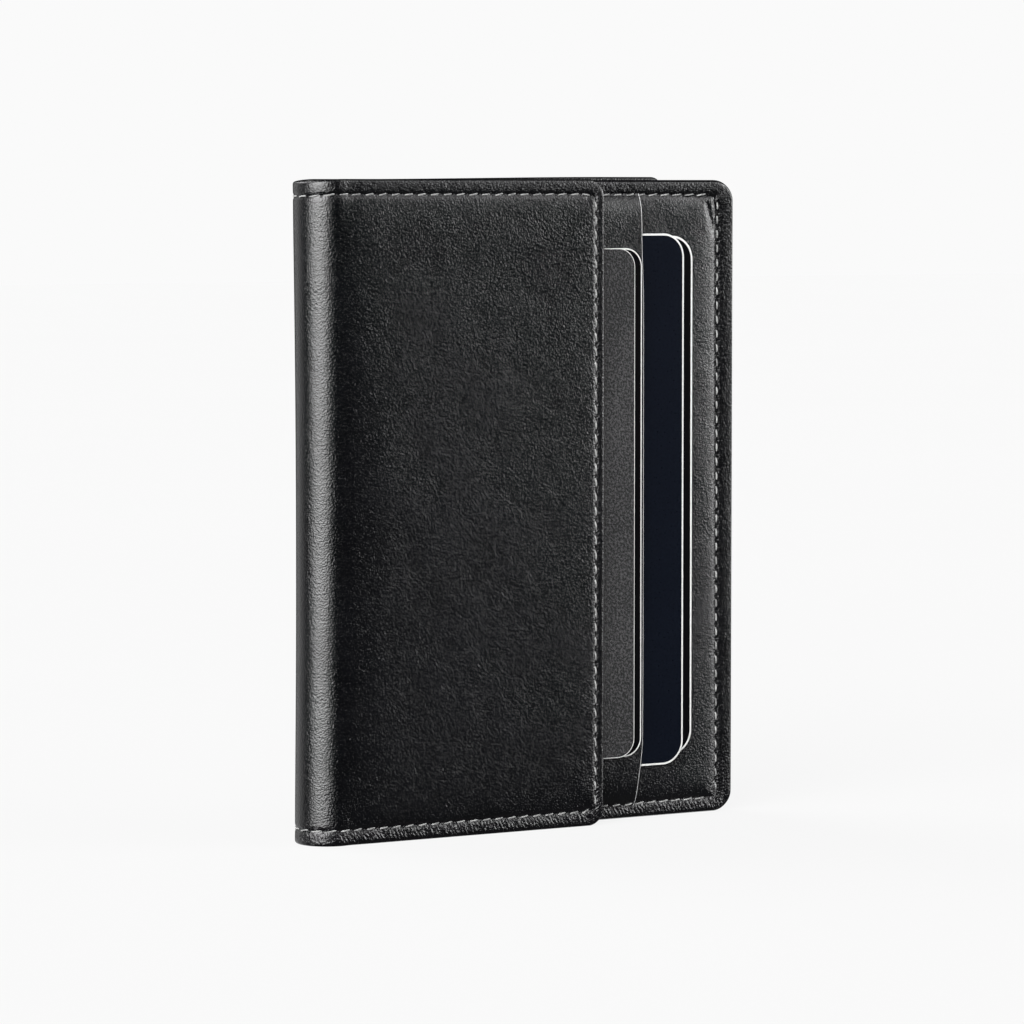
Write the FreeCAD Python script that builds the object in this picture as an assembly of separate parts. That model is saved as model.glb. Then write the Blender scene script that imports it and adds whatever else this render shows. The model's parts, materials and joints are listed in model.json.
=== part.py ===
import FreeCAD, Part
import math
import os

V = FreeCAD.Vector
os.makedirs("parts", exist_ok=True)

# A leather card holder of three leaves that meet in a rounded spine. It stands on its bottom
# edges with the short front cover towards -Y, the free edges towards +X and the spine at -X.
# Lengths are in millimetres. Widths are measured from the spine's axis.

# Leaves
SPINE_RADIUS = 5.6
FRONT_WIDTH = 49.0
CENTRE_WIDTH = 77.9
BACK_WIDTH = 66.8
FRONT_HEIGHT = 108.0
CENTRE_HEIGHT = 107.9
BACK_HEIGHT = 108.4
COVER_CORNER = 2.5
CENTRE_CORNER = 5.0
SPINE_X = (SPINE_RADIUS - CENTRE_WIDTH) / 2.0

# Layers
SKIN = 0.7
BOARD = 0.4
LINING = 0.3
TURN_IN = 3.0
EDGE_ROUND = 0.35
COVER = SKIN + BOARD + LINING
CENTRE_FACE = -0.84
BASE_LEATHER = 0.7
PADDING = 1.3
CENTRE_BACK = 2.0
POCKET_LEATHER = 0.45
POCKET_HEM = 0.6

# Seams: a thread ribbon pressed flush into the leather
SEAM_INSET = 2.5
COVER_SEAM_INSET = 1.8
THREAD_WIDTH = 0.35
THREAD_DEPTH = 0.12

# Spine strips and the fold lines between them, in degrees about the spine's axis
RIDGE_HALF_ANGLE = 20.0
FOLD_GAP_ANGLE = 1.5
FOLD_GAP = 0.15
SPINE_LINING = 0.4

# Pockets and cards: mouths and card edges face +X
OUTER_POCKET_MOUTH = 46.5
INNER_POCKET_MOUTH = 58.95
POCKET_START = 1.0
POCKET_MARGIN = 3.0
SLIP = 0.03
BANK_CARD = (53.98, 85.6, 0.76, 3.18)
VISITING_CARD = (55.0, 90.0, 0.34, 4.0)
TRADE_CARD = (50.8, 88.0, 0.34, 4.0)
GREY_CARD_EDGE = 56.2
BLACK_CARD_EDGE = 58.05
BLUE_CARD_EDGE = 67.2
PLAIN_CARD_EDGE = 69.15
BANK_CARD_Z = 53.7
VISITING_CARD_Z = 53.9
TRADE_CARD_Z = 54.5

# The strip that ties the centre leaf to the spine
HINGE_STRIP = 0.8
HINGE_FOOT = 2.4
HINGE_MARGIN = 4.0
CENTRE_START = 1.0


def save(node, shape):
    """Write one part in its place, with the spine's axis moved to its x."""
    placed = shape.copy()
    placed.translate(V(SPINE_X, 0, 0))
    placed.exportStep("parts/" + node + ".step")
    print(node, "valid", placed.isValid(), "solids", len(placed.Solids), "volume", round(placed.Volume, 1))


def arc(centre_x, centre_z, radius, start, y):
    """A quarter circle in the XZ plane that runs from the angle start to start + 90 degrees."""
    points = []
    for angle in (start, start + 45.0, start + 90.0):
        turn = math.radians(angle)
        points.append(V(centre_x + radius * math.cos(turn), y, centre_z + radius * math.sin(turn)))
    return Part.Arc(*points).toShape()


def line(x0, z0, x1, z1, y):
    return Part.LineSegment(V(x0, y, z0), V(x1, y, z1)).toShape()


def leaf(x0, x1, z0, z1, y0, y1, radius):
    """A flat layer between y0 and y1, round at its two free corners and square at the spine."""
    edges = [
        line(x0, z0, x1 - radius, z0, y0),
        arc(x1 - radius, z0 + radius, radius, -90.0, y0),
        line(x1, z0 + radius, x1, z1 - radius, y0),
        arc(x1 - radius, z1 - radius, radius, 0.0, y0),
        line(x1 - radius, z1, x0, z1, y0),
        line(x0, z1, x0, z0, y0),
    ]
    return Part.Face(Part.Wire(edges)).extrude(V(0, y1 - y0, 0))


def card(size, edge, centre_z, front):
    """A stiff card with four round corners, its right edge at edge and its face at y = front."""
    width, height, thickness, radius = size
    x0 = edge - width
    z0 = centre_z - height / 2.0
    z1 = centre_z + height / 2.0
    edges = [
        line(x0 + radius, z0, edge - radius, z0, front),
        arc(edge - radius, z0 + radius, radius, -90.0, front),
        line(edge, z0 + radius, edge, z1 - radius, front),
        arc(edge - radius, z1 - radius, radius, 0.0, front),
        line(edge - radius, z1, x0 + radius, z1, front),
        arc(x0 + radius, z1 - radius, radius, 90.0, front),
        line(x0, z1 - radius, x0, z0 + radius, front),
        arc(x0 + radius, z0 + radius, radius, 180.0, front),
    ]
    return Part.Face(Part.Wire(edges)).extrude(V(0, thickness, 0))


def sector(outer, inner, start, end, z0, z1):
    """A slice of a ring about the spine's axis, between two angles in degrees."""
    def spot(radius, angle):
        turn = math.radians(angle)
        return V(radius * math.cos(turn), radius * math.sin(turn), z0)

    middle = (start + end) / 2.0
    edges = [
        Part.Arc(spot(outer, start), spot(outer, middle), spot(outer, end)).toShape(),
        Part.LineSegment(spot(outer, end), spot(inner, end)).toShape(),
        Part.Arc(spot(inner, end), spot(inner, middle), spot(inner, start)).toShape(),
        Part.LineSegment(spot(inner, start), spot(outer, start)).toShape(),
    ]
    return Part.Face(Part.Wire(edges)).extrude(V(0, 0, z1 - z0))


def soften(solid, faces_y):
    """Round the arris round each outside face that lies at one of the given y values."""
    rounded = []
    for edge in solid.Edges:
        for y in faces_y:
            if all(abs(vertex.Point.y - y) < 1e-6 for vertex in edge.Vertexes):
                rounded.append(edge)
    free = [edge for edge in rounded if abs(edge.BoundBox.XMax - solid.BoundBox.XMin) > 1e-6]
    return solid.makeFillet(EDGE_ROUND, free)


def seam(x0, edge, height, inset, outside, inward):
    """A flush ribbon of thread along a leaf's three free sides, on the face at y = outside."""
    half = THREAD_WIDTH / 2.0
    y1 = outside + inward * THREAD_DEPTH
    corner = COVER_CORNER - 0.5
    wide = leaf(x0, edge - inset + half, SEAM_INSET - half, height - SEAM_INSET + half,
                outside, y1, corner)
    narrow = leaf(x0 - 1.0, edge - inset - half, SEAM_INSET + half, height - SEAM_INSET - half,
                  outside, y1, corner - THREAD_WIDTH)
    return wide.cut(narrow)


def cover(side, width, height, name):
    """One outside cover: leather turned over a board, a lining between the turn-ins, and its seam.

    side is -1 for the front cover and +1 for the back one. Its outer face lies at the spine's radius.
    """
    outside = side * SPINE_RADIUS
    inside = outside - side * COVER
    board_face = outside - side * SKIN
    lining_face = inside + side * LINING
    x0 = FOLD_GAP
    shell = soften(leaf(x0, width, 0.0, height, outside, inside, COVER_CORNER), (outside, inside))
    board = leaf(x0, width - SKIN, SKIN, height - SKIN, board_face, lining_face, COVER_CORNER - SKIN)
    lining = leaf(x0, width - TURN_IN, TURN_IN, height - TURN_IN, lining_face, inside, 1.0)
    threads = seam(x0, width, height, COVER_SEAM_INSET, outside, -side)
    inner_threads = seam(x0, width, height, COVER_SEAM_INSET, inside, side)
    leather = shell.cut(board).cut(lining).cut(threads).cut(inner_threads)
    save(name + "_leather", leather)
    save(name + "_board", board)
    save(name + "_lining", lining)
    save(name + "_stitching", Part.makeCompound([threads, inner_threads]))


def spine_strip(name, start, end, height):
    """One strip of the spine: leather turned in at top and bottom, its lining and its two seams."""
    inner = SPINE_RADIUS - SKIN
    back = inner - SPINE_LINING
    skin = sector(SPINE_RADIUS, inner, start, end, 0.0, height)
    foot = sector(inner, back, start, end, 0.0, TURN_IN)
    head = sector(inner, back, start, end, height - TURN_IN, height)
    lining = sector(inner, back, start, end, TURN_IN, height - TURN_IN)
    threads = []
    for middle in (SEAM_INSET, height - SEAM_INSET):
        low = middle - THREAD_WIDTH / 2.0
        high = middle + THREAD_WIDTH / 2.0
        threads.append(sector(SPINE_RADIUS, SPINE_RADIUS - THREAD_DEPTH, start, end, low, high))
    leather = skin.fuse([foot, head]).removeSplitter()
    for thread in threads:
        leather = leather.cut(thread)
    save(name + "_leather", leather)
    save(name + "_lining", lining)
    save(name + "_stitching", Part.makeCompound(threads))


def centre_leaf():
    """The middle leaf: back leather turned over the edges, padding, the base panel and the seam."""
    height = CENTRE_HEIGHT
    padding_face = CENTRE_FACE + BASE_LEATHER
    padding_back = padding_face + PADDING
    x0 = CENTRE_START
    shell = leaf(x0, CENTRE_WIDTH, 0.0, height, CENTRE_FACE, CENTRE_BACK, CENTRE_CORNER)
    shell = soften(shell, (CENTRE_FACE, CENTRE_BACK))
    padding = leaf(x0, CENTRE_WIDTH - SKIN, SKIN, height - SKIN, padding_face, padding_back,
                   CENTRE_CORNER - SKIN)
    base = leaf(x0, CENTRE_WIDTH - TURN_IN, TURN_IN, height - TURN_IN, CENTRE_FACE, padding_face,
                CENTRE_CORNER - TURN_IN)
    threads = seam(x0, CENTRE_WIDTH, height, SEAM_INSET, CENTRE_FACE, 1.0)
    back_threads = seam(x0, CENTRE_WIDTH, height, SEAM_INSET, CENTRE_BACK, -1.0)
    save("centre_back_leather", shell.cut(padding).cut(base).cut(threads).cut(back_threads))
    save("centre_padding", padding)
    save("centre_base_panel", base)
    save("centre_stitching", Part.makeCompound([threads, back_threads]))


def pocket(name, mouth, face, floor):
    """A slip pocket open towards +X: a panel whose top, bottom and spine hems reach down to floor."""
    z0 = POCKET_MARGIN
    z1 = CENTRE_HEIGHT - POCKET_MARGIN
    panel = leaf(POCKET_START, mouth, z0, z1, face, floor, 1.0)
    room = Part.makeBox(mouth, floor - face - POCKET_LEATHER, z1 - z0 - 2.0 * POCKET_HEM,
                        V(POCKET_START + POCKET_HEM, face + POCKET_LEATHER, z0 + POCKET_HEM))
    save(name, panel.cut(room))


def hinge_strip():
    """The leather strip glued inside the spine's ridge that carries the centre leaf."""
    inside = SPINE_RADIUS - SKIN - SPINE_LINING
    z0 = HINGE_MARGIN
    height = CENTRE_HEIGHT - 2.0 * HINGE_MARGIN
    web_y = CENTRE_FACE + BASE_LEATHER + (PADDING - HINGE_STRIP) / 2.0
    web = Part.makeBox(inside + CENTRE_START, HINGE_STRIP, height, V(-inside, web_y, z0))
    foot = Part.makeBox(HINGE_STRIP, HINGE_FOOT, height,
                        V(-inside, web_y + (HINGE_STRIP - HINGE_FOOT) / 2.0, z0))
    bore = Part.makeCylinder(inside, height, V(0, 0, z0))
    save("centre_hinge_strip", web.fuse(foot).removeSplitter().common(bore))


def cards_and_pockets():
    """Two pairs of cards, each in its own slip pocket, stacked forwards from the base panel."""
    plain_face = CENTRE_FACE - SLIP - TRADE_CARD[2]
    blue_face = plain_face - SLIP - VISITING_CARD[2]
    inner_face = blue_face - SLIP - POCKET_LEATHER
    black_face = inner_face - SLIP - BANK_CARD[2]
    grey_face = black_face - SLIP - BANK_CARD[2]
    outer_face = grey_face - SLIP - POCKET_LEATHER
    save("plain_card", card(TRADE_CARD, PLAIN_CARD_EDGE, TRADE_CARD_Z, plain_face))
    save("blue_card", card(VISITING_CARD, BLUE_CARD_EDGE, VISITING_CARD_Z, blue_face))
    save("black_card", card(BANK_CARD, BLACK_CARD_EDGE, BANK_CARD_Z, black_face))
    save("grey_card", card(BANK_CARD, GREY_CARD_EDGE, BANK_CARD_Z, grey_face))
    pocket("inner_pocket", INNER_POCKET_MOUTH, inner_face, CENTRE_FACE)
    pocket("outer_pocket", OUTER_POCKET_MOUTH, outer_face, inner_face)
    print("room in front of the pockets", round(SPINE_RADIUS - COVER + outer_face, 3))


cover(-1.0, FRONT_WIDTH, FRONT_HEIGHT, "front_cover")
cover(1.0, BACK_WIDTH, BACK_HEIGHT, "back_cover")
spine_strip("front_spine", 180.0 + RIDGE_HALF_ANGLE + FOLD_GAP_ANGLE, 270.0 - FOLD_GAP_ANGLE, FRONT_HEIGHT)
spine_strip("spine_ridge", 180.0 - RIDGE_HALF_ANGLE, 180.0 + RIDGE_HALF_ANGLE, FRONT_HEIGHT)
spine_strip("back_spine", 90.0 + FOLD_GAP_ANGLE, 180.0 - RIDGE_HALF_ANGLE - FOLD_GAP_ANGLE, FRONT_HEIGHT)
centre_leaf()
hinge_strip()
cards_and_pockets()
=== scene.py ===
import json
import math

import bpy
import numpy as np
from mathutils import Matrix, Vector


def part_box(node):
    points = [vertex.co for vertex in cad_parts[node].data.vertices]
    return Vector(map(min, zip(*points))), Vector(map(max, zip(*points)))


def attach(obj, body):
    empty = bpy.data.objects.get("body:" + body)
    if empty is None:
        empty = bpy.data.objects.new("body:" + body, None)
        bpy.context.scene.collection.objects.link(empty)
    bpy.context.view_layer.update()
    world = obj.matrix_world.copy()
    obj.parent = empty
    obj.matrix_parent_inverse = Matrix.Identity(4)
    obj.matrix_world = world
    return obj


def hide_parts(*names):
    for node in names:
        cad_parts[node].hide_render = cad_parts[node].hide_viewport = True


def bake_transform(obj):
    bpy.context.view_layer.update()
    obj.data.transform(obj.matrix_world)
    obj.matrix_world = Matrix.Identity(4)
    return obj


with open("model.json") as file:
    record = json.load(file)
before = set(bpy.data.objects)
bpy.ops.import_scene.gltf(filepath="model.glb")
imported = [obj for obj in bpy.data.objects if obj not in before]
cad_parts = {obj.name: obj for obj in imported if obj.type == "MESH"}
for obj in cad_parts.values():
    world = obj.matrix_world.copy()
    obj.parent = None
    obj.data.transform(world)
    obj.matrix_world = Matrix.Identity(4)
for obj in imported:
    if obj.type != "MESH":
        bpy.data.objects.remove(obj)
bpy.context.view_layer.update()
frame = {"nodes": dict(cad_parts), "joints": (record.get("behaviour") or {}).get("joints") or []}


# Outside leather: one smooth calf skin that runs from the front cover round the spine to the back
# cover, turned in over a board at every edge. It is lasted over the spine while damp, so that the
# round back keeps its shape. Lengths are in millimetres, measured from the spine's axis.
MM = 0.001
SPINE_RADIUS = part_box("back_cover_leather")[1].y / MM
SPINE_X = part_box("spine_ridge_leather")[0].x / MM + SPINE_RADIUS
FRONT_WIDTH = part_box("front_cover_leather")[1].x / MM - SPINE_X
BACK_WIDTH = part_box("back_cover_leather")[1].x / MM - SPINE_X
FRONT_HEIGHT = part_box("front_cover_leather")[1].z / MM
BACK_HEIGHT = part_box("back_cover_leather")[1].z / MM
COVER_THICKNESS = (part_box("back_cover_leather")[1].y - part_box("back_cover_leather")[0].y) / MM
SPINE_THICKNESS = 1.1
COVER_CORNER = 2.5
TURN_IN = 3.0
SEAM_INSET = 2.5
SIDE_SEAM_INSET = 1.65
PITCH = 2.42

# The spine turns through half a circle, and its last few degrees run out over the covers.
RUN_OUT_ANGLE = math.radians(4.5)
RUN_OUT_LENGTH = 12.0
TURN_SOFTNESS = 0.5
PATH_LENGTH = 100.0
along_path = np.linspace(0.0, PATH_LENGTH, 20001)


def smooth(x, low, high):
    """0 below low, 1 above high, and an even ease between them."""
    t = np.clip((x - low) / (high - low), 0.0, 1.0)
    return t * t * (3.0 - 2.0 * t)


def spine_path():
    """The outside line of the spine in plan, from the ridge to a flat cover: x, y and its turn."""
    quarter = SPINE_RADIUS * math.pi / 2.0
    tight = 1.0 / (1.0 + np.exp((along_path - quarter) / TURN_SOFTNESS))
    step = along_path[1] - along_path[0]
    turn = np.cumsum(tight) * step
    turn = turn / turn[-1] * (math.pi / 2.0 - RUN_OUT_ANGLE)
    turn = turn + RUN_OUT_ANGLE * smooth(along_path, quarter * 0.85, quarter + RUN_OUT_LENGTH)
    x = np.cumsum(np.sin(turn)) * step
    y = np.cumsum(np.cos(turn)) * step
    size = SPINE_RADIUS / y[-1]
    return x * size - SPINE_RADIUS, y * size, turn, along_path * size


path_x, path_y, path_turn, path_s = spine_path()
FRONT_END = float(np.interp(FRONT_WIDTH, path_x, path_s))
BACK_END = float(np.interp(BACK_WIDTH, path_x, path_s))
QUARTER = float(np.interp(0.0, path_x, path_s))


def on_spine(s, depth, z):
    """The place of a point: s along the outside from the ridge (front positive), depth below it."""
    side = np.sign(s) + (s == 0)
    at = np.abs(s)
    turn = np.interp(at, path_s, path_turn)
    x = np.interp(at, path_s, path_x) + depth * np.cos(turn)
    y = np.interp(at, path_s, path_y) - depth * np.sin(turn)
    return np.stack([x, -side * y, z], axis=-1)


EDGE_STEPS = 9
EDGE_ROUND = 0.6
EDGE_FULLNESS = 2.6
FINE_REACH = 3.9
FINE_STEP = 0.22
OPEN_STEP = 0.6


def grid_lines(length, radius, low_edge=True, high_edge=True, step=OPEN_STEP):
    """Where the grid lines cross one side: close over a rounded edge and a seam, then even."""
    quarter_turn = np.linspace(0.0, math.pi / 2.0, EDGE_STEPS + 1)
    turned = radius * (1.0 - np.cos(quarter_turn) ** (2.0 / EDGE_FULLNESS))
    close = np.concatenate([turned, np.arange(radius + FINE_STEP, FINE_REACH, FINE_STEP)])
    low = close if low_edge else np.zeros(1)
    high = length - (close[::-1] if high_edge else np.zeros(1))
    count = max(2, int(math.ceil((high[0] - low[-1]) / step)))
    return np.concatenate([low, np.linspace(low[-1], high[0], count + 1)[1:-1], high])


def round_corner(p, q, radius, reach):
    """Moves a square grid's corner onto a round one. p and q are distances in from the two edges."""
    d = np.minimum(p, q)
    m = np.maximum(p, q)
    inside = m < reach
    rho = radius * np.clip(1.0 - d / reach, 0.0, 1.0)
    straight = reach - d - rho
    run = (reach - m) / np.maximum(reach - d, 1e-9) * (straight + rho * math.pi / 4.0)
    beta = np.clip((run - straight) / np.maximum(rho, 1e-9), 0.0, math.pi / 4.0)
    curved = run > straight
    far = np.where(curved, d + rho * (1.0 - np.sin(beta)), reach - run)
    near = np.where(curved, d + rho * (1.0 - np.cos(beta)), d)
    new_p = np.where(p <= q, near, far)
    new_q = np.where(p <= q, far, near)
    return np.where(inside, new_p, p), np.where(inside, new_q, q)


def turned_edge(d, half, width):
    """How far a rounded edge has dropped at the distance d in from the outline."""
    inward = np.clip(1.0 - d / width, 0.0, 1.0)
    return half * (1.0 - (1.0 - inward ** EDGE_FULLNESS) ** (1.0 / EDGE_FULLNESS))


GROOVE_DEPTH = 0.20
GROOVE_WIDTH = 0.40
SEAM_DROP = 0.34
SEAM_EASE = 2.8
STRIP_CROWN = 0.03
SIDE_LIFT = 0.16


def seam_relief(across, along, pull=1.0, upright=0.0, ease=SEAM_EASE):
    """Height of leather about a seam: across is positive inside it, along is the run of the seam."""
    hole = 0.5 + 0.5 * np.cos(2.0 * math.pi * along / PITCH)
    groove = -GROOVE_DEPTH * (0.5 + 0.5 * hole) * np.exp(-((across / GROOVE_WIDTH) ** 2))
    inside = -SEAM_DROP * np.exp(-np.clip(across, 0.0, None) / ease)
    strip = np.clip(-across / SEAM_INSET, 0.0, 1.0)
    outside = -SEAM_DROP + STRIP_CROWN * np.sin(math.pi * strip)
    lifted = SIDE_LIFT * upright * strip
    pucker = 0.035 * (hole - 0.5) * np.exp(-np.abs(across) / 1.1)
    return np.where(across > 0.0, inside, outside) * pull + lifted + groove + pucker


def shell_faces(outer_index, inner_index):
    """Quads of a closed shell from two grids of vertex numbers, with the column of each quad."""
    rows, columns = outer_index.shape
    column = np.tile(np.arange(columns - 1), (rows - 1, 1))
    faces = []
    for index, turned in ((outer_index, False), (inner_index, True)):
        a, b = index[:-1, :-1], index[:-1, 1:]
        c, d = index[1:, 1:], index[1:, :-1]
        corners = (a, d, c, b) if turned else (a, b, c, d)
        faces.append(np.stack(corners, axis=-1).reshape(-1, 4))
    return np.concatenate(faces), np.concatenate([column.ravel(), column.ravel()])


def vertex_normals(points, faces):
    a, b, c, d = (points[faces[:, k]] for k in range(4))
    face = np.cross(c - a, d - b)
    total = np.zeros_like(points)
    for k in range(4):
        np.add.at(total, faces[:, k], face)
    return total / np.maximum(np.linalg.norm(total, axis=1, keepdims=True), 1e-12)


def add_mesh(name, points, faces, attributes=None, sharp_angle=None):
    """A mesh object at the origin from points in millimetres from the spine's axis."""
    placed = np.array(points, float)
    placed[:, 0] += SPINE_X
    mesh = bpy.data.meshes.new(name)
    rows = [[int(v) for k, v in enumerate(f) if v != f[k - 1]] for f in faces]
    mesh.from_pydata((placed * MM).tolist(), [], rows)
    for key, values in (attributes or {}).items():
        layer = mesh.attributes.new(key, "FLOAT", "POINT")
        layer.data.foreach_set("value", np.asarray(values, np.float32))
    mesh.shade_smooth()
    if sharp_angle:
        mesh.set_sharp_from_angle(angle=math.radians(sharp_angle))
    piece = bpy.data.objects.new(name, mesh)
    bpy.context.scene.collection.objects.link(piece)
    return piece


class Value:
    """A number that changes over a surface. Arithmetic on it adds Math nodes to its tree."""

    def __init__(self, tree, socket):
        self.tree = tree
        self.socket = socket

    def math(self, operation, *others):
        return self.tree.add("ShaderNodeMath", {"operation": operation}, [self, *others])

    def __add__(self, other):
        return self.math("ADD", other)

    def __sub__(self, other):
        return self.math("SUBTRACT", other)

    def __rsub__(self, other):
        return self.tree.add("ShaderNodeMath", {"operation": "SUBTRACT"}, [other, self])

    def __mul__(self, other):
        return self.math("MULTIPLY", other)

    def __neg__(self):
        return self * -1.0

    __radd__ = __add__
    __rmul__ = __mul__

    def clamp(self):
        return self.tree.add("ShaderNodeClamp", {}, {"Value": self})

    def rise(self, low, high):
        """0 below low, 1 above high, eased between them."""
        sockets = {"Value": self, "From Min": low, "From Max": high}
        return self.tree.add("ShaderNodeMapRange", {"interpolation_type": "SMOOTHSTEP"}, sockets)


class Tree:
    """The nodes of one material or of the world."""

    def __init__(self, owner):
        owner.use_nodes = True
        self.tree = owner.node_tree
        self.tree.nodes.clear()

    def add(self, kind, settings, sockets, output=0):
        node = self.tree.nodes.new(kind)
        for key, setting in settings.items():
            if key == "stops":
                while len(node.color_ramp.elements) < len(setting):
                    node.color_ramp.elements.new(0.5)
                for element, (place, level) in zip(node.color_ramp.elements, setting):
                    element.position = place
                    element.color = (level, level, level, 1.0)
            else:
                setattr(node, key, setting)
        pairs = enumerate(sockets) if isinstance(sockets, list) else sockets.items()
        for key, given in pairs:
            if isinstance(given, Value):
                self.tree.links.new(given.socket, node.inputs[key])
            else:
                node.inputs[key].default_value = given
        return Value(self, node.outputs[output]) if node.outputs else None

    def object_place(self):
        return self.add("ShaderNodeTexCoord", {}, {}, "Object")

    def attribute(self, name):
        return self.add("ShaderNodeAttribute", {"attribute_name": name}, {}, "Fac")

    def noise(self, place, size, detail=2.0, roughness=0.5, output="Fac"):
        """Soft random marks of about the given size, in metres."""
        sockets = {"Vector": place, "Scale": 1.0 / size, "Detail": detail, "Roughness": roughness}
        return self.add("ShaderNodeTexNoise", {}, sockets, output)

    def cells(self, place, size, feature="SMOOTH_F1"):
        sockets = {"Vector": place, "Scale": 1.0 / size}
        return self.add("ShaderNodeTexVoronoi", {"feature": feature}, sockets)

    def colour(self, amount, low, high):
        """A colour between two, by a value from 0 to 1."""
        sockets = {0: amount, 6: (*low, 1.0), 7: (*high, 1.0)}
        return self.add("ShaderNodeMix", {"data_type": "RGBA"}, sockets, 2)

    def bump(self, height, distance, strength=1.0, normal=None):
        sockets = {"Height": height, "Distance": distance, "Strength": strength}
        if normal is not None:
            sockets["Normal"] = normal
        return self.add("ShaderNodeBump", {}, sockets)

    def finish(self, sockets):
        shader = self.add("ShaderNodeBsdfPrincipled", {}, sockets)
        self.add("ShaderNodeOutputMaterial", {}, {"Surface": shader})


GRAIN_HEIGHT = 0.000088


def leather(name, base, worn_and_rim_highlight, roughness, grain, seamed=True):
    """Dyed calf leather: fine pores over a slow unevenness, wrinkled where it is turned in, with a paler
    rim that is partly rubbed wear and partly a painted highlight.
    """
    material = bpy.data.materials.new(name)
    tree = Tree(material)
    place = tree.object_place()
    slow = tree.noise(place, 0.009, 3.0)
    blotch = tree.noise(place, 0.0016, 2.0)
    pores = tree.cells(place, grain)
    pebble = tree.noise(place, grain * 0.9, 2.0, 0.6)
    fine = tree.noise(place, grain * 0.35, 1.0)
    height = pores * 0.6 + pebble * 0.7 + fine * 0.15 + slow * 2.0
    dark = (slow * 0.6 + blotch * 0.4).rise(0.35, 0.7)
    rough = roughness + (blotch - 0.5) * 0.08 + (pebble - 0.5) * 0.10 + (slow - 0.5) * 0.05
    if seamed:
        across = tree.attribute("across")
        along = tree.attribute("along")
        gather = tree.attribute("gather")
        strip = across.rise(0.1, -0.35) * across.rise(-2.2, -1.5)
        waver = (tree.noise(place, 0.0011, 2.0) - 0.5) * 11.0
        lines = (along * 9.0 + across * 4.2 + waver).math("SINE")
        broken = tree.noise(place, 0.0007, 2.0)
        wrinkle = (lines * 0.5 + 0.5) * broken.rise(0.34, 0.62)
        holes = (along * (2.0 * math.pi / PITCH)).math("COSINE").rise(0.90, 1.0)
        hole = holes * (1.0 - across.math("ABSOLUTE").rise(0.12, 0.34))
        height = height + strip * (wrinkle * gather * 0.8 + broken * 0.45) - hole * 2.5
        rough = rough + strip * 0.08
        # Painted highlight: the outer rim of the turn-in is made paler, partly as rubbed wear and partly to
        # stand in for the light its rounded edge catches.
        rim = 1.0 - across.rise(-2.5, -2.1)
        dark = (dark + rim * 0.5).clamp()
    normal = tree.bump(height, GRAIN_HEIGHT)
    tree.finish({
        "Base Color": tree.colour(dark, base, worn_and_rim_highlight),
        "Roughness": rough.clamp(),
        "Normal": normal,
        "Specular IOR Level": 0.5,
        "Coat Weight": 0.08,
        "Coat Roughness": 0.11,
    })
    return material


COVER_BLACK = (0.0005, 0.00055, 0.0009)
COVER_WORN_AND_RIM_HIGHLIGHT = (0.0013, 0.0014, 0.0020)
LINING_BLACK = (0.006, 0.006, 0.007)
LINING_WORN = (0.012, 0.012, 0.013)
cover_leather = leather("cover_leather", COVER_BLACK, COVER_WORN_AND_RIM_HIGHLIGHT, 0.125, 0.00028)
lining_leather = leather("lining_leather", LINING_BLACK, LINING_WORN, 0.42, 0.00032, False)


def gathering(z, height):
    """How much the turn-in is gathered: most along the bottom, where it was pulled over last."""
    return 0.30 + 0.70 * smooth(-z, -height * 0.12, -height * 0.02)


WAIST_IN = 0.12
WAIST_OUT = 0.42
COVER_CROWN = 0.12
LINING_RECESS = 0.14
RIDGE_DIP = 0.4
back_lines = grid_lines(BACK_END - QUARTER, EDGE_ROUND, False, True)
front_lines = grid_lines(FRONT_END - QUARTER, EDGE_ROUND, False, True)
spine_lines = np.linspace(-QUARTER, QUARTER, 49)
skin_s = np.concatenate([-(QUARTER + back_lines[::-1]), spine_lines[1:-1], QUARTER + front_lines])
skin_z = grid_lines(FRONT_HEIGHT, EDGE_ROUND)
grid_s, grid_z = np.meshgrid(skin_s, skin_z)


def skin_fields(s, z):
    """Ring distance, seam coordinates and rounded places of the skin's grid."""
    to_front = FRONT_END - s
    to_back = s + BACK_END
    to_top = FRONT_HEIGHT - z
    side = np.minimum(to_front, to_back)
    ends = np.minimum(z, to_top)
    ring = np.minimum(side, ends)
    widened = side * (SEAM_INSET / SIDE_SEAM_INSET)
    across = np.minimum(ends, widened) - SEAM_INSET
    along = np.where(ends < widened, s, z - FRONT_HEIGHT / 2.0)
    reach = 2.0 * COVER_CORNER
    for near_side, sign in ((to_front, 1.0), (to_back, -1.0)):
        for near_end, up in ((z, 1.0), (to_top, -1.0)):
            new_side, new_end = round_corner(near_side, near_end, COVER_CORNER, reach)
            s = s + sign * (near_side - new_side)
            z = z + up * (new_end - near_end)
    upright = smooth(ends - side, -1.0, 3.0)
    return ring, across, along, upright, s, z


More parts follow.
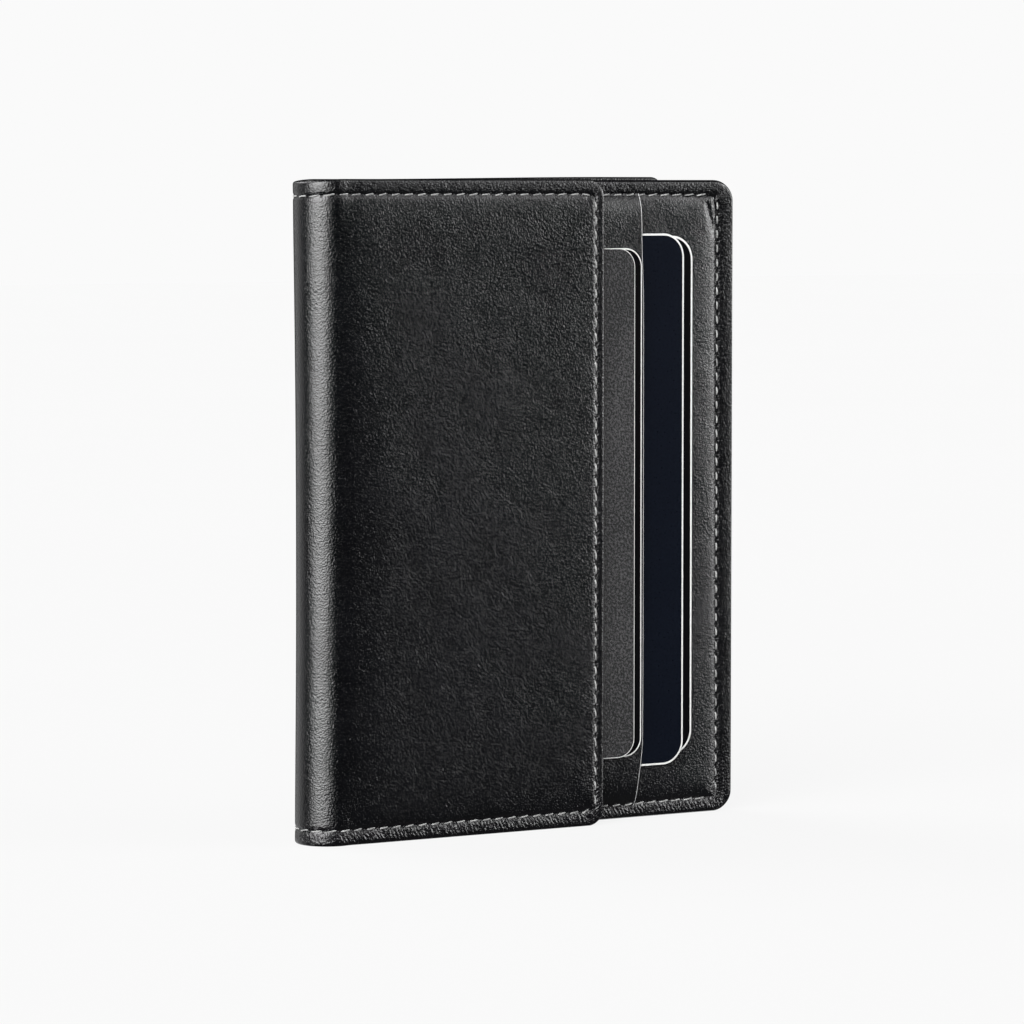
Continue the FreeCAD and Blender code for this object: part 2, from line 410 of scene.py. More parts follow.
def skin_surface(s, z):
    """Outer and inner places of the covers' and spine's skin."""
    ring, across, along, upright, s, z = skin_fields(s, z)
    flat = smooth(np.abs(s), QUARTER - 1.0, QUARTER + 1.6)
    thickness = SPINE_THICKNESS + (COVER_THICKNESS - SPINE_THICKNESS) * flat
    edge = turned_edge(ring, thickness / 2.0, EDGE_ROUND)
    middle = (z - FRONT_HEIGHT / 2.0) / (FRONT_HEIGHT / 2.0)
    waist = (WAIST_OUT * middle ** 2 - WAIST_IN) * (1.0 - smooth(np.abs(s), 2.0, QUARTER + 9.0))
    crown = COVER_CROWN * (1.0 - middle ** 2) * flat
    pull = (0.2 + 0.8 * flat) * (1.0 - 0.85 * upright)
    relief = seam_relief(across, along, pull, upright)
    outer = edge - relief - waist - crown
    recess = LINING_RECESS * smooth(across, TURN_IN - SEAM_INSET, TURN_IN - SEAM_INSET + 0.25) * flat
    inner_relief = -0.5 * GROOVE_DEPTH * np.exp(-((across / GROOVE_WIDTH) ** 2)) - recess
    inner = thickness - edge + inner_relief - waist
    inner = np.maximum(inner, outer)
    grow = 1.0 + (BACK_HEIGHT / FRONT_HEIGHT - 1.0) * smooth(-s, QUARTER + 5.0, QUARTER + 55.0)
    z = z - RIDGE_DIP * (1.0 - smooth(np.abs(s), 1.5, QUARTER)) * smooth(middle, 0.85, 1.0)
    return on_spine(s, outer, z * grow), on_spine(s, inner, z * grow), across, along, ring


outer_points, inner_points, skin_across, skin_along, skin_ring = skin_surface(grid_s, grid_z)
skin_gather = gathering(grid_z, FRONT_HEIGHT)
rows, columns = grid_s.shape
outer_index = np.arange(rows * columns).reshape(rows, columns)
inner_index = np.where(skin_ring <= 1e-9, outer_index, outer_index + rows * columns)
skin_points = np.concatenate([outer_points.reshape(-1, 3), inner_points.reshape(-1, 3)])
skin_faces, skin_columns = shell_faces(outer_index, inner_index)
skin_normals = vertex_normals(skin_points, skin_faces)


def skin_piece(name, low, high):
    """The stretch of skin between two places along it, closed at its cuts, with the whole's normals."""
    first = int(np.argmin(np.abs(skin_s - low)))
    last = int(np.argmin(np.abs(skin_s - high)))
    keep = (skin_columns >= first) & (skin_columns < last)
    faces = skin_faces[keep]
    open_count = len(faces)
    normals = skin_normals[faces]
    caps = []
    for column, toward in ((first, -1), (last, 1)):
        if 0 < column < columns - 1:
            o, i = outer_index[:, column], inner_index[:, column]
            strip = np.stack([o[:-1], o[1:], i[1:], i[:-1]], axis=-1)
            caps.append(strip if toward > 0 else strip[:, ::-1])
    for cap in caps:
        a, b, c, d = (skin_points[cap[:, k]] for k in range(4))
        flat = np.cross(c - a, d - b)
        flat /= np.maximum(np.linalg.norm(flat, axis=1, keepdims=True), 1e-12)
        faces = np.concatenate([faces, cap])
        normals = np.concatenate([normals, np.repeat(flat[:, None, :], 4, axis=1)])
    used, compact = np.unique(faces, return_inverse=True)
    compact = compact.reshape(-1, 4)
    grids = {"across": skin_across.ravel(), "along": skin_along.ravel(), "gather": skin_gather.ravel()}
    layers = {key: np.concatenate([grid, grid])[used] for key, grid in grids.items()}
    piece = add_mesh(name, skin_points[used], compact, layers)
    cut = {tuple(sorted((int(f[k - 1]), int(f[k])))) for f in compact[open_count:] for k in range(4)}
    for crease_edge in piece.data.edges:
        crease_edge.use_edge_sharp = tuple(sorted(crease_edge.vertices)) in cut
    loops = [normals[f, k] for f in range(len(compact)) for k in range(4)
             if compact[f, k] != compact[f, k - 1]]
    piece.data.normals_split_custom_set([tuple(n) for n in loops])
    piece.data.materials.append(cover_leather)
    return piece


FOLD_HALF = 1.7
joints = {joint["name"]: joint for joint in frame["joints"]}


def fold_ends(joint_name):
    """Where the leather starts and ends its bend at a fold, measured along the skin."""
    pivot = np.array(joints[joint_name]["pos_m"])
    toward = np.array([pivot[0] - SPINE_X * MM, pivot[1], 0.0])
    outward = toward / np.linalg.norm(toward)
    tangent = np.array([-outward[1], outward[0], 0.0])
    return pivot, tangent * FOLD_HALF * MM


def bend_at(piece, joint_name, front):
    """Bakes a piece's placement into its mesh; the piece is not bent at the fold."""
    pivot, half = fold_ends(joint_name)
    half = half if front else -half
    tuple(pivot - half)
    tuple(pivot + half)
    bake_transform(piece)


SPINE_CUT = QUARTER * 0.62
SKIN = [
    ("front_cover_skin", SPINE_CUT, FRONT_END, "front_cover_fold", "front_spine", "front_cover",
     ["front_cover_leather"]),
    ("front_spine_skin", 0.0, SPINE_CUT, "front_spine_fold", "centre_leaf", "front_spine",
     ["front_spine_leather", "spine_ridge_leather"]),
    ("back_spine_skin", -SPINE_CUT, 0.0, "back_spine_fold", "centre_leaf", "back_spine",
     ["back_spine_leather"]),
    ("back_cover_skin", -BACK_END, -SPINE_CUT, "back_cover_fold", "back_spine", "back_cover",
     ["back_cover_leather"]),
]
for name, low, high, joint_name, parent, child, stands_for in SKIN:
    skin = skin_piece(name, low, high)
    bend_at(skin, joint_name, high > 0.0)
    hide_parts(*stands_for)


# Card leaf: felt padding inside black leather. The back leather is turned over the three free
# edges onto the front, where one seam holds the turn-in, the base panel and the pockets' hems.
leaf_low, leaf_high = (np.array(corner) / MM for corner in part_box("centre_back_leather"))
LEAF_START = leaf_low[0] - SPINE_X
LEAF_WIDTH = leaf_high[0] - SPINE_X
LEAF_HEIGHT = leaf_high[2]
LEAF_FRONT = leaf_low[1]
LEAF_BACK = leaf_high[1]
LEAF_CORNER = 3.5
LEAF_EDGE = (LEAF_BACK - LEAF_FRONT) / 2.0
LEAF_RECESS = 0.35
LEAF_SIDE_INSET = 3.25


def leaf_fields(x, z, inset, corner):
    """The same as skin_fields, for a flat panel of the card leaf inset from the leaf's outline."""
    to_side = LEAF_WIDTH - inset - x
    low = z - inset
    top = LEAF_HEIGHT - inset - z
    ring = np.minimum(to_side, np.minimum(low, top))
    ends = np.minimum(low, top)
    across = np.minimum(ends + inset, (to_side + inset) * (SEAM_INSET / LEAF_SIDE_INSET)) - SEAM_INSET
    along = np.where(ends < to_side, x, z - LEAF_HEIGHT / 2.0)
    reach = 2.0 * corner
    for near_end, up in ((low, 1.0), (top, -1.0)):
        new_side, new_end = round_corner(to_side, near_end, corner, reach)
        x = x + (to_side - new_side)
        z = z + up * (new_end - near_end)
    return ring, across, along, x, z


def panel(name, front, back, x, z, ring, layers, sharp_angle=45.0):
    """A closed flat piece: its front and back are y values over one grid, closed where ring is 0."""
    rows, columns = x.shape
    top = np.stack([x, front, z], axis=-1).reshape(-1, 3)
    under = np.stack([x, back, z], axis=-1).reshape(-1, 3)
    index = np.arange(rows * columns).reshape(rows, columns)
    below = np.where(ring <= 1e-9, index, index + rows * columns)
    faces, _ = shell_faces(index, below)
    for column, turned in ((0, False), (columns - 1, True)):
        o, i = index[:, column], below[:, column]
        strip = np.stack([o[1:], o[:-1], i[:-1], i[1:]], axis=-1)
        strip = strip[np.any(o[:-1, None] != i[:-1, None], axis=1) | (o[1:] != i[1:])]
        faces = np.concatenate([faces, strip[:, ::-1] if turned else strip])
    points = np.concatenate([top, under])
    used, compact = np.unique(faces, return_inverse=True)
    doubled = {key: np.concatenate([grid.ravel(), grid.ravel()])[used] for key, grid in layers.items()}
    return add_mesh(name, points[used], compact.reshape(-1, 4), doubled, sharp_angle)


def leaf_grid(start, inset, edge, step):
    x = start + grid_lines(LEAF_WIDTH - inset - start, edge, False, True, step)
    z = inset + grid_lines(LEAF_HEIGHT - 2.0 * inset, edge, True, True, step)
    return np.meshgrid(x, z)


grid_x, grid_z = leaf_grid(LEAF_START, 0.0, EDGE_ROUND, OPEN_STEP)
ring, across, along, grid_x, grid_z = leaf_fields(grid_x, grid_z, 0.0, LEAF_CORNER)
edge = turned_edge(ring, LEAF_EDGE, EDGE_ROUND)
leaf_upright = smooth(np.minimum(grid_z, LEAF_HEIGHT - grid_z) - (LEAF_WIDTH - grid_x), -1.0, 3.0)
relief = seam_relief(across, along, 1.0, leaf_upright)
recess = LEAF_RECESS * smooth(across, 0.05, 0.4)
rim_front = LEAF_FRONT + edge - relief + recess
rim_back = LEAF_BACK - edge + seam_relief(across, along)
rim = panel("card_leaf_leather", rim_front, rim_back, grid_x, grid_z, ring,
            {"across": across, "along": along, "gather": gathering(grid_z, LEAF_HEIGHT)})
rim.data.materials.append(cover_leather)
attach(rim, "centre_leaf")
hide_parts("centre_back_leather")


# Base panel: the smooth leather behind the cards, let in flush inside the turn-in and drawn down
# by the seam, with a short crease near the upper free corner.
POCKET_BLACK = (0.0010, 0.0011, 0.0016)
POCKET_WORN = (0.0020, 0.0021, 0.0028)
pocket_leather = leather("pocket_leather", POCKET_BLACK, POCKET_WORN, 0.14, 0.00028)
BASE_INSET = SEAM_INSET - 0.12
BASE_THICKNESS = 0.6
BASE_EDGE = 0.12
BASE_PULL = 0.9
BASE_EASE = 1.7
CREASE_DEPTH = 0.19
CREASE_WIDTH = 0.5
CREASE_FROM = np.array([LEAF_WIDTH - 5.4, LEAF_HEIGHT - 4.2])
CREASE_TO = np.array([LEAF_WIDTH - 4.1, LEAF_HEIGHT - 8.4])


def crease(x, z):
    """A shallow slanting dent."""
    run = CREASE_TO - CREASE_FROM
    share = ((x - CREASE_FROM[0]) * run[0] + (z - CREASE_FROM[1]) * run[1]) / (run @ run)
    share = np.clip(share, 0.0, 1.0)
    off = np.hypot(x - CREASE_FROM[0] - share * run[0], z - CREASE_FROM[1] - share * run[1])
    return CREASE_DEPTH * np.exp(-((off / CREASE_WIDTH) ** 2))


grid_x, grid_z = leaf_grid(LEAF_START, BASE_INSET, BASE_EDGE, 0.8)
ring, across, along, grid_x, grid_z = leaf_fields(grid_x, grid_z, BASE_INSET, LEAF_CORNER - BASE_INSET)
side_pull = smooth(grid_x, LEAF_WIDTH - 14.0, LEAF_WIDTH - 5.0) * (0.2 + 0.8 * smooth(grid_z, 5.0, 100.0))
relief = seam_relief(across, along, 1.0 + BASE_PULL * side_pull, 0.0, BASE_EASE)
base_front = LEAF_FRONT + turned_edge(ring, BASE_EDGE, BASE_EDGE) - relief + crease(grid_x, grid_z)
base_back = np.maximum(LEAF_FRONT + BASE_THICKNESS, base_front + 0.02)
base_back = np.where(ring <= 1e-9, base_front, base_back)
base = panel("base_panel", base_front, base_back, grid_x, grid_z, ring, {"across": across, "along": along})
base.data.materials.append(pocket_leather)
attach(base, "centre_leaf")
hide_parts("centre_base_panel")


# Slip pockets: panels of thin leather sewn down at top and bottom. They are moulded over the cards,
# so they rise from the seam within a few millimetres. Each mouth is skived, and its pale edge band is
# partly edge dye and partly painted highlight.
def edge_dye_and_highlight():
    """Pale grey for the pockets' mouths: waxed edge dye much paler than the leather, partly a painted
    highlight of the light the rounded mouth catches.
    """
    material = bpy.data.materials.new("edge_dye_and_highlight")
    tree = Tree(material)
    place = tree.object_place()
    grit = tree.noise(place, 0.0004, 2.0)
    tree.finish({
        "Base Color": tree.colour(grit, (0.36, 0.36, 0.365), (0.50, 0.50, 0.505)),
        "Roughness": grit * 0.15 + 0.33,
        "Normal": tree.bump(grit, 0.000008),
    })
    return material


mouth_dye_and_highlight = edge_dye_and_highlight()
POCKET_TUCK = 0.25
POCKET_WALL = 0.15
MOUTH_SLACK = 0.10
DYED_AND_HIGHLIGHT_RIM = 0.16


def pocket_front(level, across_ends, rise):
    """The y of a pocket's face: at the seam it lies on the base panel, and over the cards at level."""
    seat = LEAF_FRONT + SEAM_DROP * 0.2 - 0.10
    lift = 1.0 - np.exp(-np.clip(across_ends, 0.0, None) / rise)
    return seat + (level - seat) * lift


def slip_pocket(name, node, rise, thickness, top_draw, bottom_draw):
    low, high = (np.array(corner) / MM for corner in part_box(node))
    mouth = high[0] - SPINE_X
    level = low[1]
    start = low[0] - SPINE_X
    z0 = SEAM_INSET - POCKET_TUCK
    z1 = LEAF_HEIGHT - z0
    x_lines = start + grid_lines(mouth - start, thickness / 2.0, False, True, 1.0)
    x_lines = np.insert(x_lines, 1, start + POCKET_WALL)
    z_lines = z0 + grid_lines(z1 - z0, 0.1, True, True, 0.7)
    x, z = np.meshgrid(x_lines, z_lines)
    to_mouth = mouth - x
    across = np.minimum(z, LEAF_HEIGHT - z) - SEAM_INSET
    along = x.copy()

    def drawn_in(height):
        """How far the mouth is drawn back toward the spine at its ends, by the seams."""
        top = top_draw * smooth(height, LEAF_HEIGHT - 21.0, LEAF_HEIGHT - 9.5)
        return top + bottom_draw * smooth(-height, -14.0, -3.0)

    x = x - drawn_in(z) * smooth(x, mouth - 12.0, mouth)
    slack = MOUTH_SLACK * smooth(x, mouth - 9.0, mouth) * smooth(across, 6.0, 30.0)
    thin = thickness * (0.45 + 0.55 * smooth(across, 0.0, 4.0))
    edge = turned_edge(to_mouth, thin / 2.0, thickness / 2.0)
    tucked = smooth(x, start, start + POCKET_WALL)
    face = pocket_front(level - slack, across, rise)
    face = LEAF_FRONT + 0.1 + (face - LEAF_FRONT - 0.1) * tucked
    pucker = 0.03 * np.cos(2.0 * math.pi * along / PITCH) * np.exp(-np.clip(across, 0.0, None) / 0.9)
    front = face + edge - pucker
    back = face + thin - edge
    back = np.where(to_mouth <= 1e-9, front, back)
    piece = panel(name, front, back, x, z, to_mouth, {"across": across, "along": along}, 60.0)
    piece.data.materials.append(pocket_leather)
    piece.data.materials.append(mouth_dye_and_highlight)
    # Painted highlight: the faces along the mouth's outermost strip take the pale edge material, which is
    # partly edge dye and partly stands in for the light the rounded mouth catches.
    rim_x = (SPINE_X + mouth - DYED_AND_HIGHLIGHT_RIM) * MM
    for face_item in piece.data.polygons:
        corners = [piece.data.vertices[v].co for v in face_item.vertices]
        centre_x = sum(c.x for c in corners) / len(corners)
        centre_z = sum(c.z for c in corners) / len(corners) / MM
        face_item.material_index = int(centre_x > rim_x - drawn_in(centre_z) * MM)
    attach(piece, "centre_leaf")
    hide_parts(node)


slip_pocket("lower_pocket", "inner_pocket", 1.6, 0.45, 0.3, 1.0)
slip_pocket("upper_pocket", "outer_pocket", 2.2, 0.45, 0.3, 1.0)


# Linings: thin leather glued inside the covers, flush between the turn-ins.
def lining_panel(name, node, side, body):
    low, high = (np.array(corner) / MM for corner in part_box(node))
    x0, x1 = low[0] - SPINE_X, high[0] - SPINE_X
    face_y = high[1] if side < 0 else low[1]
    x_lines = x0 + grid_lines(x1 - x0, 0.1, False, True, 3.0)
    z_lines = low[2] + grid_lines(high[2] - low[2], 0.1, True, True, 3.0)
    x, z = np.meshgrid(x_lines, z_lines)
    ring = np.minimum(x1 - x, np.minimum(z - low[2], high[2] - z))
    edge = turned_edge(ring, 0.1, 0.1)
    inside = face_y + side * edge
    outside = face_y + side * np.where(ring <= 1e-9, edge, 0.25)
    front, back = (outside, inside) if side < 0 else (inside, outside)
    piece = panel(name, front, back, x, z, ring, {"across": ring + 1.0, "along": x})
    piece.data.materials.append(lining_leather)
    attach(piece, body)
    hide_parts(node)


lining_panel("front_lining", "front_cover_lining", -1.0, "front_cover")
lining_panel("back_lining", "back_cover_lining", 1.0, "back_cover")


# Seams: waxed grey thread in lock stitch. Each stitch is a short arch of thread whose ends go down
# through the leather, lying a little aslant of the seam as hand-cut holes make it.
STITCH_LENGTH = 1.66
THREAD = 0.29
STITCH_RISE = 0.22
SEAM_CORNER = 1.3
HEM_RISE = 0.14
SIDE_SINK = 0.16
SLANT = math.radians(9.0)
UPRIGHT = (math.sin(math.radians(6.0)), math.cos(math.radians(6.0)))


def thread_material():
    material = bpy.data.materials.new("waxed_thread")
    tree = Tree(material)
    place = tree.object_place()
    fibre = tree.noise(place, 0.00012, 2.0)
    shade = tree.noise(place, 0.0011, 2.0)
    pale = (fibre * 0.5 + shade * 0.5).rise(0.35, 0.65)
    tree.finish({
        "Base Color": tree.colour(pale, (0.065, 0.065, 0.065), (0.29, 0.29, 0.286)),
        "Roughness": fibre * 0.2 + 0.45,
        "Normal": tree.bump(fibre, 0.00002),
    })
    return material


def stitch_tree(material):
    """Geometry Nodes: one arched stitch on every point, turned to the seam and its surface."""
    tree = bpy.data.node_groups.new("stitches", "GeometryNodeTree")
    tree.interface.new_socket("Geometry", in_out="INPUT", socket_type="NodeSocketGeometry")
    sizes = {"Length": STITCH_LENGTH, "Thread": THREAD, "Rise": STITCH_RISE, "Slant": SLANT, "Wander": 0.06}
    for label, size in sizes.items():
        tree.interface.new_socket(label, in_out="INPUT", socket_type="NodeSocketFloat").default_value = size
    tree.interface.new_socket("Seed", in_out="INPUT", socket_type="NodeSocketInt").default_value = 7
    tree.interface.new_socket("Geometry", in_out="OUTPUT", socket_type="NodeSocketGeometry")

    def add(kind, sockets, **settings):
        node = tree.nodes.new(kind)
        for key, setting in settings.items():
            setattr(node, key, setting)
        for key, given in sockets.items():
            if isinstance(given, bpy.types.NodeSocket):
                tree.links.new(given, node.inputs[key])
            else:
                node.inputs[key].default_value = given
        return node

    given = add("NodeGroupInput", {}).outputs
    half = add("ShaderNodeMath", {0: given["Length"], 1: 0.5}, operation="MULTIPLY").outputs[0]
    minus = add("ShaderNodeMath", {0: half, 1: -1.0}, operation="MULTIPLY").outputs[0]
    sunk = add("ShaderNodeMath", {0: given["Rise"], 1: -1.3}, operation="MULTIPLY").outputs[0]
    crest = add("ShaderNodeMath", {0: given["Rise"], 1: 1.7}, operation="MULTIPLY").outputs[0]
    start = add("ShaderNodeCombineXYZ", {"X": minus, "Z": sunk}).outputs[0]
    top = add("ShaderNodeCombineXYZ", {"Z": crest}).outputs[0]
    end = add("ShaderNodeCombineXYZ", {"X": half, "Z": sunk}).outputs[0]
    arch = add("GeometryNodeCurveQuadraticBezier",
               {"Resolution": 6, "Start": start, "Middle": top, "End": end})
    radius = add("ShaderNodeMath", {0: given["Thread"], 1: 0.5}, operation="MULTIPLY").outputs[0]
    ring = add("GeometryNodeCurvePrimitiveCircle", {"Resolution": 7, "Radius": radius})
    stitch = add("GeometryNodeCurveToMesh",
                 {"Curve": arch.outputs[0], "Profile Curve": ring.outputs[0], "Fill Caps": True})
    tangent = add("GeometryNodeInputNamedAttribute", {"Name": "tangent"}, data_type="FLOAT_VECTOR")
    outward = add("GeometryNodeInputNamedAttribute", {"Name": "outward"}, data_type="FLOAT_VECTOR")
    facing = add("FunctionNodeAxesToRotation", {0: outward.outputs[0], 1: tangent.outputs[0]},
                 primary_axis="Z", secondary_axis="X")
    low = add("ShaderNodeMath", {0: given["Wander"], 1: -1.0}, operation="MULTIPLY").outputs[0]
    stray = add("FunctionNodeRandomValue",
                {2: low, 3: given["Wander"], "Seed": given["Seed"]}, data_type="FLOAT")
    angle = add("ShaderNodeMath", {0: given["Slant"], 1: stray.outputs[1]}, operation="ADD").outputs[0]
    euler = add("ShaderNodeCombineXYZ", {"Z": angle}).outputs[0]
    twist = add("FunctionNodeEulerToRotation", {0: euler})
    turned = add("FunctionNodeRotateRotation",
                 {0: facing.outputs[0], 1: twist.outputs[0]}, rotation_space="LOCAL")
    parts = {"Points": given["Geometry"], "Instance": stitch.outputs[0], "Rotation": turned.outputs[0]}
    placed = add("GeometryNodeInstanceOnPoints", parts)
    real = add("GeometryNodeRealizeInstances", {"Geometry": placed.outputs[0]})
    even = add("GeometryNodeSetShadeSmooth", {"Geometry": real.outputs[0]})
    dyed = add("GeometryNodeSetMaterial", {"Geometry": even.outputs[0], "Material": material})
    add("NodeGroupOutput", {"Geometry": dyed.outputs[0]})
    return tree


thread = thread_material()
stitches = stitch_tree(thread)


def sew(name, places, tangents, outwards, slant):
    """A row of stitches as a plain mesh, from the seam's points in millimetres."""
    placed = np.array(places, float)
    placed[:, 0] += SPINE_X
    mesh = bpy.data.meshes.new(name)
    mesh.from_pydata((placed * MM).tolist(), [], [])
    for key, vectors in (("tangent", tangents), ("outward", outwards)):
        layer = mesh.attributes.new(key, "FLOAT_VECTOR", "POINT")
        layer.data.foreach_set("vector", np.asarray(vectors, np.float32).ravel())
    piece = bpy.data.objects.new(name, mesh)
    bpy.context.scene.collection.objects.link(piece)
    modifier = piece.modifiers.new("stitches", "NODES")
    modifier.node_group = stitches
    sizes = {"Length": STITCH_LENGTH * MM, "Thread": THREAD * MM, "Rise": STITCH_RISE * MM, "Slant": slant}
    for item in stitches.interface.items_tree:
        if item.in_out == "INPUT" and item.name in sizes:
            modifier[item.identifier] = sizes[item.name]
    evaluated = piece.evaluated_get(bpy.context.evaluated_depsgraph_get())
    made = bpy.data.meshes.new_from_object(evaluated)
    piece.modifiers.clear()
    piece.data = made
    bpy.data.meshes.remove(mesh)
    return piece


def seam_steps(low, high, centre=0.0):
    """Places along a seam, one for each stitch, half a pitch off the holes."""
    first = math.ceil((low - centre) / PITCH - 0.5)
    last = math.floor((high - centre) / PITCH - 0.5)
    return centre + (np.arange(first, last + 1) + 0.5) * PITCH


def skin_stitches(low, high, inner):
    """Stitch places, tangents and outward directions on the stretch of skin from low to high."""
    spots = []
    first = max(low, -BACK_END + SIDE_SEAM_INSET + SEAM_CORNER)
    last = min(high, FRONT_END - SIDE_SEAM_INSET - SEAM_CORNER)
    for s in seam_steps(first, last):
        spots.append((s, SEAM_INSET, 1.0, 0.0))
        spots.append((s, FRONT_HEIGHT - SEAM_INSET, 1.0, 0.0))
    end_inset = SEAM_INSET + SEAM_CORNER
    for edge_s, wanted in ((FRONT_END - SIDE_SEAM_INSET, high >= FRONT_END - 1.0),
                           (-BACK_END + SIDE_SEAM_INSET, low <= -BACK_END + 1.0)):
        if wanted:
            for z in seam_steps(end_inset, FRONT_HEIGHT - end_inset, FRONT_HEIGHT / 2.0):
                spots.append((edge_s, z, *UPRIGHT))
    spots = np.array(spots)
    step = 0.05

    def place(s, z):
        outer, under, *_ = skin_surface(s, z)
        return under if inner else outer

    here = place(spots[:, 0], spots[:, 1])
    by_s = place(spots[:, 0] + step, spots[:, 1]) - place(spots[:, 0] - step, spots[:, 1])
    by_z = np.tile([0.0, 0.0, 1.0], (len(spots), 1))
    tangent = by_s * spots[:, 2:3] + by_z * spots[:, 3:4]
    tangent = tangent / np.linalg.norm(tangent, axis=1, keepdims=True)
    level = on_spine(spots[:, 0], np.zeros(len(spots)), spots[:, 1])
    deep = on_spine(spots[:, 0], np.ones(len(spots)), spots[:, 1])
    outward = (deep - level) if inner else (level - deep)
    return here + outward * 0.06, tangent, outward


STITCH_NODES = {
    "front_cover_skin": ["front_cover_stitching"],
    "front_spine_skin": ["front_spine_stitching", "spine_ridge_stitching"],
    "back_spine_skin": ["back_spine_stitching"],
    "back_cover_skin": ["back_cover_stitching"],
}
for name, low, high, joint_name, parent, child, _ in SKIN:
    outside = skin_stitches(low, high, False)
    inside = skin_stitches(low, high, True)
    joined = [np.concatenate(pair) for pair in zip(outside, inside)]
    row = sew(name.replace("skin", "stitches"), *joined, SLANT)
    bend_at(row, joint_name, high > 0.0)
    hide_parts(*STITCH_NODES[name])


def leaf_stitches(front):
    """The same for the card leaf. Over the pockets the thread lies on their hems."""
    spots = []
    for x in seam_steps(LEAF_START + 0.6, LEAF_WIDTH - LEAF_SIDE_INSET - SEAM_CORNER):
        spots.append((x, SEAM_INSET, 1.0, 0.0))
        spots.append((x, LEAF_HEIGHT - SEAM_INSET, 1.0, 0.0))
    end_inset = SEAM_INSET + SEAM_CORNER
    for z in seam_steps(end_inset, LEAF_HEIGHT - end_inset, LEAF_HEIGHT / 2.0):
        spots.append((LEAF_WIDTH - LEAF_SIDE_INSET, z, *UPRIGHT))
    spots = np.array(spots)
    over_pockets = (spots[:, 0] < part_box("inner_pocket")[1].x / MM - SPINE_X) & (spots[:, 2] > 0.5)
    depth = SEAM_DROP + GROOVE_DEPTH * 0.5 - 0.12
    if front:
        y = LEAF_FRONT + np.where(over_pockets, -HEM_RISE, depth) + SIDE_SINK * spots[:, 3]
    else:
        y = np.full(len(spots), LEAF_BACK - depth)
    here = np.stack([spots[:, 0], y, spots[:, 1]], axis=-1)
    tangent = np.stack([spots[:, 2], np.zeros(len(spots)), spots[:, 3]], axis=-1)
    outward = np.tile([0.0, -1.0 if front else 1.0, 0.0], (len(spots), 1))
    return here, tangent, outward


joined = [np.concatenate(pair) for pair in zip(leaf_stitches(True), leaf_stitches(False))]
row = sew("card_leaf_stitches", *joined, SLANT)
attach(row, "centre_leaf")
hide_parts("centre_stitching")


# Cards: stiff cards with round corners. A pale band runs round each face, where the face colour stops
# short of the edge, and the card's edges are the same pale colour.
CARD_BEVEL = 0.07
CARD_CORNER_STEPS = 12


def card_face(name, low, high, roughness, gloss, grain, strength):
    material = bpy.data.materials.new(name)
    tree = Tree(material)
    place = tree.object_place()
    tooth = tree.noise(place, grain, 3.0, 0.6)
    cloud = tree.noise(place, 0.012, 2.0)
    tree.finish({
        "Base Color": tree.colour((tooth * 0.85 + cloud * 0.15).rise(0.43, 0.64), low, high),
        "Roughness": tooth * 0.16 + (roughness - 0.08),
        "Normal": tree.bump(tooth, strength),
        "Specular IOR Level": gloss,
    })
    return material


PALE_EDGE = ((0.50, 0.50, 0.49), (0.60, 0.60, 0.59))
GREY = ((0.0015, 0.0015, 0.0019), (0.046, 0.045, 0.047))
BLACK = ((0.0008, 0.0008, 0.001), (0.0014, 0.0014, 0.0017))
BLUE = ((0.0012, 0.0022, 0.0050), (0.0020, 0.0034, 0.0070))
PLAIN = ((0.0008, 0.0008, 0.0011), (0.0014, 0.0014, 0.0018))
pale_card_edge = card_face("pale_card_edge", *PALE_EDGE, 0.5, 0.2, 0.0003, 0.000004)
grey_face = card_face("grey_card_face", *GREY, 0.5, 0.28, 0.00040, 0.00020)
black_face = card_face("black_card_face", *BLACK, 0.3, 0.06, 0.0003, 0.000006)
blue_face = card_face("blue_card_face", *BLUE, 0.3, 0.10, 0.0004, 0.000006)
plain_face = card_face("plain_card_face", *PLAIN, 0.3, 0.06, 0.0003, 0.000006)
CARDS = {
    "grey_card": (3.18, 0.14, grey_face),
    "black_card": (3.18, 0.23, black_face),
    "blue_card": (4.0, 0.33, blue_face),
    "plain_card": (4.0, 0.35, plain_face),
}


def rounded_outline(low, high, radius):
    """Points round a rounded rectangle in the XZ plane."""
    points = []
    centres = [(high[0] - radius, low[2] + radius, -90.0), (high[0] - radius, high[2] - radius, 0.0),
               (low[0] + radius, high[2] - radius, 90.0), (low[0] + radius, low[2] + radius, 180.0)]
    for centre_x, centre_z, start in centres:
        for angle in np.radians(start + np.linspace(0.0, 90.0, CARD_CORNER_STEPS + 1)):
            points.append((centre_x + radius * math.cos(angle), centre_z + radius * math.sin(angle)))
    return np.array(points)


def card(node, radius, border, face_material):
    low, high = (np.array(corner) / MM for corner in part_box(node))
    low[0] -= SPINE_X
    high[0] -= SPINE_X
    rings = []
    half_bevel = CARD_BEVEL * 0.3
    for inset, y in ((border, low[1]), (CARD_BEVEL, low[1]), (half_bevel, low[1] + half_bevel),
                     (0.0, low[1] + CARD_BEVEL), (0.0, high[1] - CARD_BEVEL),
                     (half_bevel, high[1] - half_bevel), (CARD_BEVEL, high[1]), (border, high[1])):
        shift = np.array([inset, 0.0, inset])
        outline = rounded_outline(low + shift, high - shift, radius - inset)
        rings.append(np.stack([outline[:, 0], np.full(len(outline), y), outline[:, 1]], axis=-1))
    count = len(rings[0])
    faces = []
    for k in range(len(rings) - 1):
        for i in range(count):
            j = (i + 1) % count
            faces.append([k * count + i, (k + 1) * count + i, (k + 1) * count + j, k * count + j])
    faces.append(list(range(count)))
    faces.append([(len(rings) - 1) * count + i for i in range(count)][::-1])
    piece = add_mesh(node + "_piece", np.concatenate(rings), faces, None, 30.0)
    piece.data.materials.append(pale_card_edge)
    piece.data.materials.append(face_material)
    for polygon in piece.data.polygons:
        polygon.material_index = int(len(polygon.vertices) > 4)
    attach(piece, node)
    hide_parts(node)


for node, (radius, border, face_material) in CARDS.items():
    card(node, radius, border, face_material)


